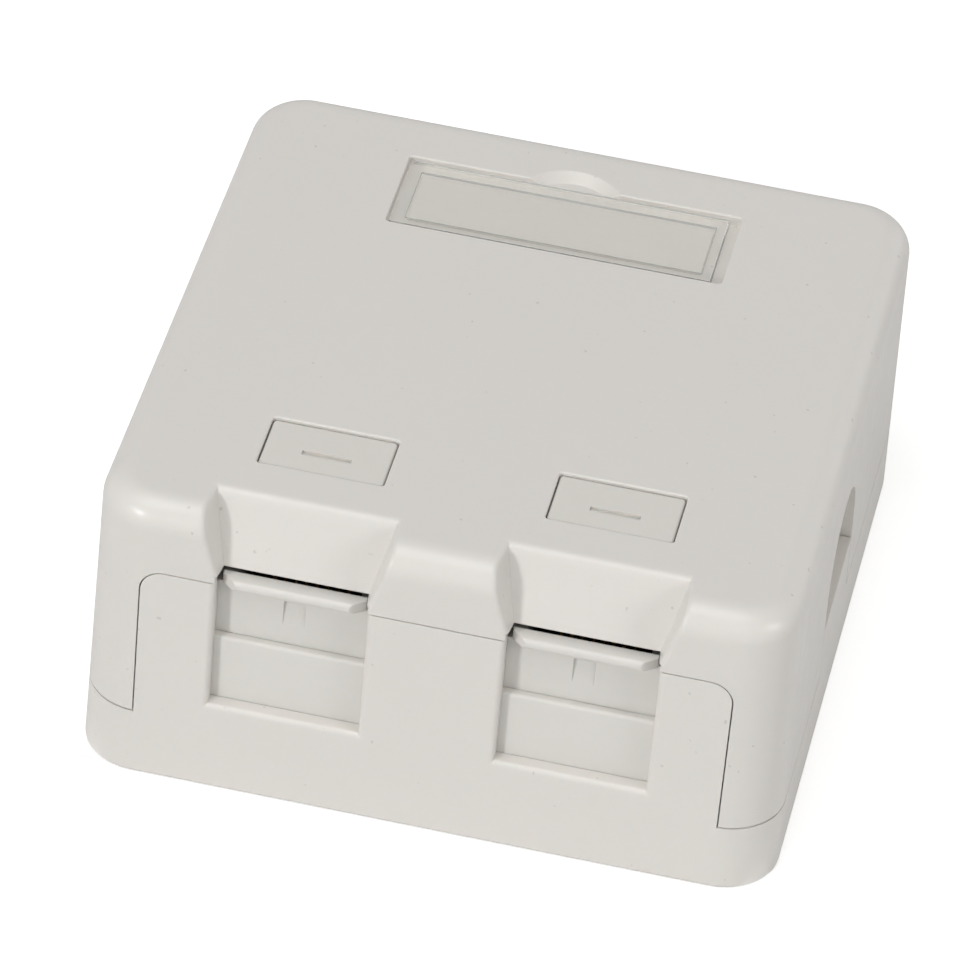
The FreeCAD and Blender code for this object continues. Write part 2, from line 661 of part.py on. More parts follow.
def contact_places():
    return [(i - (CONTACTS - 1) / 2) * CONTACT_PITCH for i in range(CONTACTS)]


def make_contact_insert():
    """Comb that holds the contacts and closes the back of the plug cavity."""
    foot = BOARD_TOP + 0.05
    sill = CAVITY_FLOOR - 0.1
    outline = [(INSERT_FRONT, foot), (INSERT_BACK, foot), (INSERT_BACK, CAVITY_TOP - 0.1),
               (INSERT_WALL, CAVITY_TOP - 0.1), (INSERT_WALL, sill), (INSERT_FRONT, sill)]
    body = prism(outline, INSERT_HALF)
    half = CONTACT_WIDTH / 2 + 0.1
    slots = []
    for x in contact_places():
        for front, back, foot, top in (COMB_SLOT, COMB_WELL):
            slots.append(block((x - half, front, foot), (x + half, back, top)))
    return body.cut(Part.makeCompound(slots))


def make_contact_wires():
    """Eight spring contacts, rising from the board and sloping down to the front."""
    solids = []
    for x in contact_places():
        wire = prism(strip(CONTACT_PATH, CONTACT_THICK), CONTACT_WIDTH / 2)
        wire.translate(Vector(x, 0, 0))
        solids.append(wire)
    return Part.makeCompound(solids)


def make_circuit_board():
    return block((-BOARD_HALF, BOARD_FRONT, BOARD_FOOT), (BOARD_HALF, BOARD_BACK, BOARD_TOP))


def wire_rows():
    middle = (BLOCK_FRONT + BLOCK_BACK) / 2
    return [middle + (i - (WIRE_ROWS - 1) / 2) * WIRE_PITCH for i in range(WIRE_ROWS)]


def make_idc_block():
    """Terminal block: two ridges with a slot for each wire."""
    body = block((-BLOCK_HALF, BLOCK_FRONT, BOARD_TOP + 0.05), (BLOCK_HALF, BLOCK_BACK, RIDGE_TOP))
    cuts = [block((-RIDGE_INNER, 0.0, BLOCK_SHELF), (RIDGE_INNER, DEPTH, HEIGHT))]
    for y in wire_rows():
        cuts.append(block((-WIDTH, y - WIRE_SLOT / 2, WIRE_SLOT_FOOT), (WIDTH, y + WIRE_SLOT / 2, HEIGHT)))
        for side in (-1, 1):
            x = side * BLADE_X
            cuts.append(block((x - BLADE_THICK / 2 - 0.05, y - BLADE_HALF - 0.05, BOARD_TOP),
                              (x + BLADE_THICK / 2 + 0.05, y + BLADE_HALF + 0.05, HEIGHT)))
    return body.cut(Part.makeCompound(cuts))


def make_idc_blades():
    """Slotted metal blades, one for each wire."""
    solids = []
    for y in wire_rows():
        for side in (-1, 1):
            x = side * BLADE_X
            blade = block((x - BLADE_THICK / 2, y - BLADE_HALF, BLADE_FOOT),
                          (x + BLADE_THICK / 2, y + BLADE_HALF, BLADE_TOP))
            throat = block((x - 1.0, y - BLADE_THROAT / 2, WIRE_SLOT_FOOT),
                           (x + 1.0, y + BLADE_THROAT / 2, BLADE_TOP + 1.0))
            half, depth = BLADE_MOUTH
            brim = BLADE_TOP + 0.1
            mouth = prism([(y, BLADE_TOP - depth), (y + half, brim), (y - half, brim)], 1.0)
            mouth.translate(Vector(x, 0, 0))
            solids.append(blade.cut(throat.fuse(mouth)))
    return Part.makeCompound(solids)


def make_wire_cap():
    """Cap that presses the wires home, with a rib over each slot."""
    foot = RIDGE_TOP + 0.05
    cap = block((-BLOCK_HALF, BLOCK_FRONT, foot), (BLOCK_HALF, BLOCK_BACK, CAP_TOP))
    cap = soften(cap, CAP_CORNER_R, lambda edge, middle: upright(edge))
    cap = soften(cap, CAP_EDGE_R, lambda edge, middle: near(middle.z, CAP_TOP))
    pieces = [block((-CAP_FIN_HALF, BLOCK_FRONT + 1.0, BLOCK_SHELF + 1.0),
                    (CAP_FIN_HALF, BLOCK_BACK - 1.0, foot + 0.2))]
    inner, outer, width, low = CAP_PRESSER
    for y in wire_rows():
        for side in (-1, 1):
            ends = sorted((side * inner, side * outer))
            pieces.append(block((ends[0], y - width / 2, low), (ends[1], y + width / 2, foot + 0.2)))
    cap = cap.fuse(pieces)
    half, width, depth, pitch = CAP_GROOVE
    for i in range(CAP_GROOVES):
        y = (BLOCK_FRONT + BLOCK_BACK) / 2 + (i - (CAP_GROOVES - 1) / 2) * pitch
        cap = cap.cut(block((-half, y - width / 2, CAP_TOP - depth), (half, y + width / 2, HEIGHT)))
    return cap.removeSplitter()


JACK_PIECES = {
    "jack_housing": make_jack_housing,
    "shutter": make_shutter,
    "shutter_spring": make_spring,
    "contact_insert": make_contact_insert,
    "contact_wires": make_contact_wires,
    "circuit_board": make_circuit_board,
    "idc_block": make_idc_block,
    "idc_blades": make_idc_blades,
    "wire_cap": make_wire_cap,
}


def save(name, shape, x=0.0):
    """Move a piece to its place about the origin and write it."""
    placed = shape.copy()
    placed.translate(Vector(x, -DEPTH / 2, 0))
    solids = placed.Solids
    print(name, len(solids), round(placed.Volume, 1), placed.isValid())
    placed = solids[0] if len(solids) == 1 else Part.makeCompound(solids)
    placed.exportStep(f"parts/{name}.step")


def main():
    os.makedirs("parts", exist_ok=True)
    save("base", make_base())
    save("cover", make_cover())
    save("label_window", make_label_window())
    save("label_card", make_label_card())
    save("icon_tile_left", make_icon_tile(-ICON_OFFSET))
    save("icon_tile_right", make_icon_tile(ICON_OFFSET))
    for piece, make in JACK_PIECES.items():
        shape = make()
        for side, x in port_centres().items():
            save(f"{piece}_{side}", shape, x)


main()
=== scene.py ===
"""Looks of a two-port surface mount jack box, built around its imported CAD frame."""

from __future__ import annotations

import json
import logging
import math
from dataclasses import dataclass, field
from enum import Enum

import bpy
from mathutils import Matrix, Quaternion, Vector

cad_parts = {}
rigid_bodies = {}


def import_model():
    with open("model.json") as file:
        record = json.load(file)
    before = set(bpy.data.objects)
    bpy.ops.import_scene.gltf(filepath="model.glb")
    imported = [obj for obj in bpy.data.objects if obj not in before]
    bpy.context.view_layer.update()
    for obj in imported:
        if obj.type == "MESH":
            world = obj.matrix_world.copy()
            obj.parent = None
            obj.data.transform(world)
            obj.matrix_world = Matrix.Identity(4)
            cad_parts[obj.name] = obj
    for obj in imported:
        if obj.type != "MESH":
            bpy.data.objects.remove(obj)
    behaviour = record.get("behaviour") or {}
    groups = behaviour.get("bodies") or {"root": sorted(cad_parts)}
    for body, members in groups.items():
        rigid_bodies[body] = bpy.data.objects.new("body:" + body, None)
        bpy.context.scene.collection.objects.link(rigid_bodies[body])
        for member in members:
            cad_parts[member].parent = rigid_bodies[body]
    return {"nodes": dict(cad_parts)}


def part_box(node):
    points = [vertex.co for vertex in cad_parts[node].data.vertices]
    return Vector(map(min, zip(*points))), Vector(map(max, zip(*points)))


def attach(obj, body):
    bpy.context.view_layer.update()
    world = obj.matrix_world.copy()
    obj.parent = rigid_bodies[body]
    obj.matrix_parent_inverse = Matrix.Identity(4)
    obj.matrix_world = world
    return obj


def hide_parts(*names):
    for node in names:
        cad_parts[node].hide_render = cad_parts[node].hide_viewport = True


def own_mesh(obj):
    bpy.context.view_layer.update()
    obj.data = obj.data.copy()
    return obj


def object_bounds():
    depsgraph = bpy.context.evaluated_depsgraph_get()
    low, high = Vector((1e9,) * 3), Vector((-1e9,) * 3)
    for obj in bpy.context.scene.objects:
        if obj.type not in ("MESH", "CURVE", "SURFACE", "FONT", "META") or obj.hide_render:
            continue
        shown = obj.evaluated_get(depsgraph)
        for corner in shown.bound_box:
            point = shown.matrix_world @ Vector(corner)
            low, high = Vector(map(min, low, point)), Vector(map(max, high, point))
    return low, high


for leftover in list(bpy.data.objects):
    bpy.data.objects.remove(leftover)

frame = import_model()
bpy.context.view_layer.update()
CAD_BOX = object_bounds()

LOG = logging.getLogger("jack_box")
MM = 0.001
PLASTIC_IOR = 1.49
EDGE_SAMPLES = 6
WHITE = (1.0, 1.0, 1.0, 1.0)
BASE_BODY = "base_assembly"


class Side(Enum):
    """The two ports, named as seen from the front."""

    LEFT = "left"
    RIGHT = "right"

    def node(self, piece: str) -> str:
        """Name of this side's copy of a jack piece."""
        return f"{piece}_{self.value}"

    @property
    def shutter_joint(self) -> str:
        """Joint of this side's shutter."""
        return f"{self.value}_shutter_slide"


# ---- Finishes ----


@dataclass(frozen=True)
class Shade:
    """A colour as it looks on screen, from 0 to 1 for each channel."""

    red: float
    green: float
    blue: float

    def linear(self, factor: float = 1.0) -> tuple[float, float, float, float]:
        """Scene-linear colour for a shader socket.

        Args:
            factor: Brightness factor applied after the conversion.

        Returns:
            Red, green, blue and an alpha of 1.
        """
        channels = [((c + 0.055) / 1.055) ** 2.4 * factor for c in (self.red, self.green, self.blue)]
        return (channels[0], channels[1], channels[2], 1.0)


def any_ray(tree: bpy.types.NodeTree, *kinds: str) -> bpy.types.NodeSocket:
    """One where the ray is of any of the kinds.

    Args:
        tree: Shader tree to add the nodes to.
        kinds: Names of rays as the Light Path node has them, such as Camera.

    Returns:
        The socket of the result.
    """
    path = tree.nodes.new("ShaderNodeLightPath")
    result = path.outputs[f"Is {kinds[0]} Ray"]
    for kind in kinds[1:]:
        either = tree.nodes.new("ShaderNodeMath")
        either.operation = "MAXIMUM"
        tree.links.new(result, either.inputs[0])
        tree.links.new(path.outputs[f"Is {kind} Ray"], either.inputs[1])
        result = either.outputs["Value"]
    return result


class ShaderTree:
    """Small helper that adds and joins the nodes of one material."""

    def __init__(self, name: str) -> None:
        """Start a material with a Principled shader and an output.

        Args:
            name: Name of the material.
        """
        self.material = bpy.data.materials.new(name)
        self.material.use_nodes = True
        self.nodes = self.material.node_tree.nodes
        self.links = self.material.node_tree.links
        self.nodes.clear()
        self.output = self.nodes.new("ShaderNodeOutputMaterial")
        self.shader = self.nodes.new("ShaderNodeBsdfPrincipled")
        self.join(self.shader.outputs["BSDF"], self.output.inputs["Surface"])
        self.place = self.nodes.new("ShaderNodeTexCoord").outputs["Object"]

    def join(self, source: bpy.types.NodeSocket, target: bpy.types.NodeSocket) -> None:
        """Link two sockets."""
        self.links.new(source, target)

    def stretched(self, scale: tuple[float, float, float]) -> bpy.types.NodeSocket:
        """Object coordinates with a different scale along each axis.

        Args:
            scale: Factor for each axis.

        Returns:
            The socket of the scaled coordinates.
        """
        mapping = self.nodes.new("ShaderNodeMapping")
        mapping.inputs["Scale"].default_value = scale
        self.join(self.place, mapping.inputs["Vector"])
        return mapping.outputs["Vector"]

    def noise(self, feature: float, detail: float = 3.0, roughness: float = 0.5,
              place: bpy.types.NodeSocket | None = None) -> bpy.types.NodeSocket:
        """Noise whose blotches are about as large as asked.

        Args:
            feature: Size of a blotch in metres.
            detail: Octaves of the noise.
            roughness: How strong the finer octaves are.
            place: Coordinates to use in place of the plain object coordinates.

        Returns:
            The noise's factor socket.
        """
        node = self.nodes.new("ShaderNodeTexNoise")
        node.inputs["Scale"].default_value = 1.0 / feature
        node.inputs["Detail"].default_value = detail
        node.inputs["Roughness"].default_value = roughness
        self.join(place or self.place, node.inputs["Vector"])
        return node.outputs["Fac"]

    def spread(self, value: bpy.types.NodeSocket, low: object, high: object,
               start: float = 0.0, end: float = 1.0) -> bpy.types.NodeSocket:
        """Map a value from one range to another.

        Args:
            value: Socket to read.
            low: Result at the start of the range, a number or a socket.
            high: Result at the end of the range, a number or a socket.
            start: Start of the source range.
            end: End of the source range.

        Returns:
            The mapped value's socket.
        """
        node = self.nodes.new("ShaderNodeMapRange")
        values = {"Value": value, "From Min": start, "From Max": end, "To Min": low, "To Max": high}
        for key, given in values.items():
            if isinstance(given, bpy.types.NodeSocket):
                self.join(given, node.inputs[key])
            else:
                node.inputs[key].default_value = given
        return node.outputs["Result"]

    def blend(self, factor: bpy.types.NodeSocket, first: object, second: object) -> bpy.types.NodeSocket:
        """Mix two colours.

        Args:
            factor: Socket that says how much of the second colour shows.
            first: A colour or a socket.
            second: A colour or a socket.

        Returns:
            The mixed colour's socket.
        """
        node = self.nodes.new("ShaderNodeMix")
        node.data_type = "RGBA"
        self.join(factor, node.inputs[0])
        for socket, value in ((node.inputs[6], first), (node.inputs[7], second)):
            if isinstance(value, bpy.types.NodeSocket):
                self.join(value, socket)
            else:
                socket.default_value = value
        return node.outputs[2]

    def bump(self, height: bpy.types.NodeSocket, depth: float,
             before: bpy.types.NodeSocket | None = None) -> bpy.types.NodeSocket:
        """Surface relief of a real depth.

        Args:
            height: Height from 0 to 1.
            depth: Depth in metres that the height stands for.
            before: Normal of an earlier bump.

        Returns:
            The new normal's socket.
        """
        node = self.nodes.new("ShaderNodeBump")
        node.inputs["Strength"].default_value = 1.0
        node.inputs["Distance"].default_value = depth
        self.join(height, node.inputs["Height"])
        if before is not None:
            self.join(before, node.inputs["Normal"])
        return node.outputs["Normal"]

    def upright_faces(self) -> bpy.types.NodeSocket:
        """One on faces that stand upright and nought on level ones."""
        shape = self.nodes.new("ShaderNodeNewGeometry")
        parts = self.nodes.new("ShaderNodeSeparateXYZ")
        self.join(shape.outputs["True Normal"], parts.inputs[0])
        size = self.nodes.new("ShaderNodeMath")
        size.operation = "ABSOLUTE"
        self.join(parts.outputs["Z"], size.inputs[0])
        return self.spread(size.outputs["Value"], 1.0, 0.0, start=0.5, end=0.6)

    def soft_edges(self, radius: float) -> bpy.types.NodeSocket:
        """Normals that round every sharp edge by a small radius.

        Args:
            radius: Radius in metres.

        Returns:
            The softened normal's socket.
        """
        node = self.nodes.new("ShaderNodeBevel")
        node.samples = EDGE_SAMPLES
        node.inputs["Radius"].default_value = radius
        return node.outputs["Normal"]

    def sockets(self, **values: object) -> None:
        """Set constants or links on the shader by socket name, with _ for a space."""
        for key, value in values.items():
            socket = self.shader.inputs[key.replace("_", " ")]
            if isinstance(value, bpy.types.NodeSocket):
                self.join(value, socket)
            else:
                socket.default_value = value


@dataclass(frozen=True)
class MouldedPlastic:
    """Injection-moulded plastic: faint flow marks, a fine eroded texture, soft edges and dust specks."""

    name: str
    shade: Shade
    roughness: float = 0.32
    roughness_drop: float = 0.03
    roughness_rise: float = 0.05
    variation: float = 0.012
    flow: float = 24.0 * MM
    flow_stretch: tuple[float, float, float] = (1.0, 0.6, 1.4)
    flow_depth: float = 0.008 * MM
    mottle: float = 2.6 * MM
    mottle_shade: float = 0.985
    grain: float = 0.28 * MM
    grain_depth: float = 0.0016 * MM
    speck: float = 0.6 * MM
    speck_share: float = 0.0
    speck_shade: float = 0.5
    edge: float = 0.14 * MM
    glow_depth: float = 1.2 * MM

    def material(self) -> bpy.types.Material:
        """Build the finish.

        Returns:
            The material.
        """
        tree = ShaderTree(self.name)
        flow = tree.noise(self.flow, detail=2.0, place=tree.stretched(self.flow_stretch))
        mottle = tree.noise(self.mottle, detail=4.0, roughness=0.6)
        darker, lighter = (self.shade.linear(1.0 + change) for change in (-self.variation, self.variation))
        patches = tree.spread(mottle, 0.0, 0.4, start=0.4, end=0.8)
        colour = tree.blend(patches, tree.blend(flow, darker, lighter), self.shade.linear(self.mottle_shade))
        if self.speck_share:
            dust = tree.noise(self.speck, detail=0.0)
            edge, middle = 1.0 - self.speck_share, 1.0 - self.speck_share * 0.7
            shown = tree.spread(dust, 0.0, 0.35, start=edge, end=middle)
            colour = tree.blend(shown, colour, self.shade.linear(self.speck_shade))
        spark = tree.noise(self.grain, detail=3.0, roughness=0.55)
        ripple = tree.bump(flow, self.flow_depth, tree.soft_edges(self.edge))
        smooth, rough = self.roughness - self.roughness_drop, self.roughness + self.roughness_rise
        tree.sockets(Base_Color=colour, Normal=tree.bump(spark, self.grain_depth, ripple), IOR=PLASTIC_IOR,
                     Roughness=tree.spread(mottle, smooth, rough, start=0.3, end=0.7),
                     Subsurface_Weight=0.05, Subsurface_Scale=self.glow_depth)
        return tree.material


@dataclass(frozen=True)
class ClearPlastic:
    """Clear moulded plastic with flow lines, small scuffs, duller upright edges and painted shade on those
    edges.
    """

    name: str
    shade: Shade
    roughness: float = 0.04
    flow: float = 5.0 * MM
    flow_stretch: tuple[float, float, float] = (0.35, 1.6, 1.0)
    flow_depth: float = 0.003 * MM
    scuff: float = 0.8 * MM
    scuff_roughness: float = 0.12
    edge: float = 0.12 * MM
    # Colour factor on upright faces: painted shade for the dark lines along the pocket edges.
    edge_painted_shade: float = 0.5
    edge_roughness: float = 0.4
    edge_clearness: float = 0.35

    def material(self) -> bpy.types.Material:
        """Build the finish.

        Returns:
            The material.
        """
        tree = ShaderTree(self.name)
        flow = tree.noise(self.flow, detail=2.0, place=tree.stretched(self.flow_stretch))
        scuff = tree.noise(self.scuff, detail=4.0, roughness=0.7)
        upright = tree.upright_faces()
        scuffed = self.roughness + self.scuff_roughness
        clean = tree.spread(scuff, self.roughness, scuffed, start=0.45, end=0.8)
        # Upright faces get a darker base colour as painted shade; their higher roughness and lower
        # transmission are the duller moulded walls.
        tree.sockets(Base_Color=tree.blend(upright, self.shade.linear(), self.shade.linear(self.edge_painted_shade)),
                     Transmission_Weight=tree.spread(upright, 1.0, self.edge_clearness), IOR=PLASTIC_IOR,
                     Roughness=tree.spread(upright, clean, self.edge_roughness),
                     Normal=tree.bump(flow, self.flow_depth, tree.soft_edges(self.edge)))
        clear = tree.nodes.new("ShaderNodeBsdfTransparent")
        clear.inputs["Color"].default_value = self.shade.linear()
        mix = tree.nodes.new("ShaderNodeMixShader")
        tree.join(any_ray(tree.material.node_tree, "Shadow", "Diffuse"), mix.inputs["Fac"])
        tree.join(tree.shader.outputs["BSDF"], mix.inputs[1])
        tree.join(clear.outputs["BSDF"], mix.inputs[2])
        tree.join(mix.outputs["Shader"], tree.output.inputs["Surface"])
        return tree.material


@dataclass(frozen=True)
class PaperCard:
    """Plain uncoated card with a fibre texture."""

    name: str
    shade: Shade
    fibre: float = 0.4 * MM
    fibre_stretch: tuple[float, float, float] = (0.35, 1.3, 1.0)
    fibre_depth: float = 0.012 * MM
    fibre_shade: float = 0.94
    cloud: float = 6.0 * MM
    cloud_low: float = 0.97
    cloud_high: float = 1.02

    def material(self) -> bpy.types.Material:
        """Build the finish.

        Returns:
            The material.
        """
        tree = ShaderTree(self.name)
        fibre = tree.noise(self.fibre, detail=5.0, roughness=0.7, place=tree.stretched(self.fibre_stretch))
        cloud = tree.noise(self.cloud, detail=2.0)
        tone = tree.blend(cloud, self.shade.linear(self.cloud_low), self.shade.linear(self.cloud_high))
        fibres = tree.spread(fibre, 0.0, 0.5, start=0.35, end=0.7)
        colour = tree.blend(fibres, tone, self.shade.linear(self.fibre_shade))
        tree.sockets(Base_Color=colour, Roughness=0.85, Specular_IOR_Level=0.25,
                     Normal=tree.bump(fibre, self.fibre_depth))
        return tree.material


@dataclass(frozen=True)
class DrawnMetal:
    """Wire or strip metal with lines along its length and uneven gloss."""

    name: str
    shade: Shade
    roughness: float
    line: float = 0.12 * MM
    line_stretch: tuple[float, float, float] = (1.0, 1.0, 0.08)
    line_depth: float = 0.003 * MM
    patch: float = 1.5 * MM
    dull_patch: float = 0.86
    bright_patch: float = 1.06
    roughness_drop: float = 0.06
    roughness_rise: float = 0.1

    def material(self) -> bpy.types.Material:
        """Build the finish.

        Returns:
            The material.
        """
        tree = ShaderTree(self.name)
        lines = tree.noise(self.line, detail=3.0, roughness=0.6, place=tree.stretched(self.line_stretch))
        patches = tree.noise(self.patch, detail=3.0)
        colour = tree.blend(patches, self.shade.linear(self.dull_patch), self.shade.linear(self.bright_patch))
        smooth, rough = self.roughness - self.roughness_drop, self.roughness + self.roughness_rise
        tree.sockets(Base_Color=colour, Metallic=1.0, Normal=tree.bump(lines, self.line_depth),
                     Roughness=tree.spread(patches, smooth, rough, start=0.3, end=0.7))
        return tree.material


@dataclass(frozen=True)
class CoatedBoard:
    """Circuit board laminate under a green coat, with tracks showing through."""

    name: str
    shade: Shade
    track_pitch: float = 2.54 * MM
    bands_per_scale: float = 6.0
    track_bend: float = 1.4
    track_depth: float = 0.03 * MM
    track_light: float = 1.9
    weave: float = 0.5 * MM
    weave_low: float = 0.8
    weave_high: float = 1.15

    def material(self) -> bpy.types.Material:
        """Build the finish.

        Returns:
            The material.
        """
        tree = ShaderTree(self.name)
        tracks = tree.nodes.new("ShaderNodeTexWave")
        tracks.wave_type = "BANDS"
        tracks.bands_direction = "X"
        tracks.inputs["Scale"].default_value = 1.0 / self.track_pitch / self.bands_per_scale
        tracks.inputs["Distortion"].default_value = self.track_bend
        tracks.inputs["Detail"].default_value = 0.0
        tree.join(tree.place, tracks.inputs["Vector"])
        raised = tree.spread(tracks.outputs["Fac"], 0.0, 1.0, start=0.62, end=0.7)
        weave = tree.noise(self.weave, detail=4.0)
        coat = tree.blend(weave, self.shade.linear(self.weave_low), self.shade.linear(self.weave_high))
        tree.sockets(Base_Color=tree.blend(raised, coat, self.shade.linear(self.track_light)), Roughness=0.32,
                     Normal=tree.bump(raised, self.track_depth), Coat_Weight=0.4, Coat_Roughness=0.15)
        return tree.material


class Finish(Enum):
    """Every finish on the box."""

    COVER = MouldedPlastic("cover_plastic", Shade(0.845, 0.832, 0.812), speck_share=0.17)
    BASE = MouldedPlastic("base_plastic", Shade(0.848, 0.835, 0.815), speck_share=0.17)
    JACK = MouldedPlastic("jack_plastic", Shade(0.842, 0.832, 0.812))
    SHUTTER = MouldedPlastic("shutter_plastic", Shade(0.838, 0.828, 0.808))
    TILE = MouldedPlastic("tile_plastic", Shade(0.835, 0.822, 0.798), roughness=0.38)
    INSERT = MouldedPlastic("insert_plastic", Shade(0.17, 0.17, 0.18), roughness=0.45, variation=0.08)
    TERMINAL = MouldedPlastic("terminal_plastic", Shade(0.74, 0.74, 0.73), roughness=0.42)
    WIRE_CAP = MouldedPlastic("wire_cap_plastic", Shade(0.85, 0.845, 0.83), roughness=0.36)
    WINDOW = ClearPlastic("window_plastic", Shade(0.985, 0.985, 0.98))
    CARD = PaperCard("label_card_paper", Shade(0.835, 0.822, 0.80))
    SPRING = DrawnMetal("spring_wire", Shade(0.72, 0.72, 0.73), 0.28)
    CONTACT = DrawnMetal("plated_contact", Shade(0.93, 0.77, 0.44), 0.3)
    BLADE = DrawnMetal("tinned_blade", Shade(0.80, 0.80, 0.79), 0.34)
    BOARD = CoatedBoard("coated_board", Shade(0.11, 0.42, 0.24))


SIDE_FINISHES = {
    "shutter": Finish.SHUTTER,
    "jack_housing": Finish.JACK,
    "icon_tile": Finish.TILE,
    "wire_cap": Finish.WIRE_CAP,
    "idc_block": Finish.TERMINAL,
    "contact_insert": Finish.INSERT,
    "circuit_board": Finish.BOARD,
}


class FinishShelf:
    """Builds each finish once and hands it out."""

    def __init__(self) -> None:
        """Start with an empty shelf."""
        self._made: dict[Finish, bpy.types.Material] = {}

    def get(self, finish: Finish) -> bpy.types.Material:
        """The material of a finish, built on first use.

        Args:
            finish: Which finish.

        Returns:
            Its material.
        """
        if finish not in self._made:
            self._made[finish] = finish.value.material()
        return self._made[finish]


# ---- Mesh tools ----


def dress(piece: bpy.types.Object, material: bpy.types.Material) -> None:
    """Give a piece one material in every slot.

    Args:
        piece: Object to dress.
        material: Material for all its faces.
    """
    if not piece.material_slots:
        piece.data.materials.append(material)
    for slot in piece.material_slots:
        slot.material = material


def new_piece(name: str, mesh: bpy.types.Mesh) -> bpy.types.Object:
    """Link a new object that shows a mesh.

    Args:
        name: Name of the piece.
        mesh: Its mesh, in the frame's metres.

    Returns:
        The object, at the origin.
    """
    piece = bpy.data.objects.new(name, mesh)
    bpy.context.scene.collection.objects.link(piece)
    return piece


# ---- Repeated pieces made with Geometry Nodes ----


class NodeGraph:
    """A Geometry Nodes tree with named inputs that ends in Realize Instances and Set Material."""

    def __init__(self, name: str, sizes: dict[str, float | int]) -> None:
        """Start a tree.

        Args:
            name: Name of the tree.
            sizes: Value of each named input.
        """
        self.name = name
        self.tree = bpy.data.node_groups.new(name, "GeometryNodeTree")
        face = self.tree.interface
        face.new_socket("Geometry", in_out="INPUT", socket_type="NodeSocketGeometry")
        self.values: dict[str, object] = {}
        for label, value in sizes.items():
            kind = "NodeSocketInt" if isinstance(value, int) else "NodeSocketFloat"
            socket = face.new_socket(label, in_out="INPUT", socket_type=kind)
            self.values[socket.identifier] = value
        finish = face.new_socket("Material", in_out="INPUT", socket_type="NodeSocketMaterial")
        self.material_key = finish.identifier
        face.new_socket("Geometry", in_out="OUTPUT", socket_type="NodeSocketGeometry")
        self.given = self.tree.nodes.new("NodeGroupInput").outputs

    def add(self, kind: str, inputs: dict[str | int, object] | None = None,
            **settings: object) -> bpy.types.Node:
        """Add a node.

        Args:
            kind: Node type without its GeometryNode or ShaderNode prefix.
            inputs: Constant or socket for each input, by name or number.
            settings: Properties of the node.

        Returns:
            The node.
        """
        prefix = "ShaderNode" if kind in ("Math", "MapRange", "CombineXYZ") else "GeometryNode"
        node = self.tree.nodes.new(prefix + kind)
        for key, value in settings.items():
            setattr(node, key, value)
        for key, value in (inputs or {}).items():
            if isinstance(value, bpy.types.NodeSocket):
                self.tree.links.new(value, node.inputs[key])
            else:
                node.inputs[key].default_value = value
        return node

    def math(self, operation: str, *terms: object) -> bpy.types.NodeSocket:
        """Result of a math node."""
        return self.add("Math", dict(enumerate(terms)), operation=operation).outputs[0]

    def bake(self, result: bpy.types.NodeSocket, start: bpy.types.Mesh, material: bpy.types.Material,
             sharp: float = 40.0) -> bpy.types.Object:
        """Close the tree and turn it into an object with a plain mesh.

        Args:
            result: Geometry socket to end with.
            start: Mesh that goes into the tree.
            material: Material for the Set Material node.
            sharp: Angle in degrees above which an edge stays sharp.

        Returns:
            The finished object, with no modifier.
        """
        real = self.add("RealizeInstances", {"Geometry": result}).outputs["Geometry"]
        painted = self.add("SetMaterial", {"Geometry": real, "Material": self.given["Material"]})
        end = self.tree.nodes.new("NodeGroupOutput")
        self.tree.links.new(painted.outputs["Geometry"], end.inputs["Geometry"])
        piece = new_piece(self.name, start)
        modifier = piece.modifiers.new("shape", "NODES")
        modifier.node_group = self.tree
        for key, value in self.values.items():
            modifier[key] = value
        modifier[self.material_key] = material
        graph = bpy.context.evaluated_depsgraph_get()
        mesh = bpy.data.meshes.new_from_object(piece.evaluated_get(graph))
        piece.modifiers.clear()
        piece.data = mesh
        mesh.shade_smooth()
        mesh.set_sharp_from_angle(angle=math.radians(sharp))
        return piece


def path_mesh(name: str, points: list[tuple[float, float, float]], closed: bool = False) -> bpy.types.Mesh:
    """Points joined by edges, as the start of a tree.

    Args:
        name: Name of the mesh.
        points: The points in order.
        closed: Whether the last joins the first.

    Returns:
        The mesh.
    """
    mesh = bpy.data.meshes.new(name)
    edges = [(i, i + 1) for i in range(len(points) - 1)]
    if closed:
        edges.append((len(points) - 1, 0))
    mesh.from_pydata(points, edges, [])
    return mesh


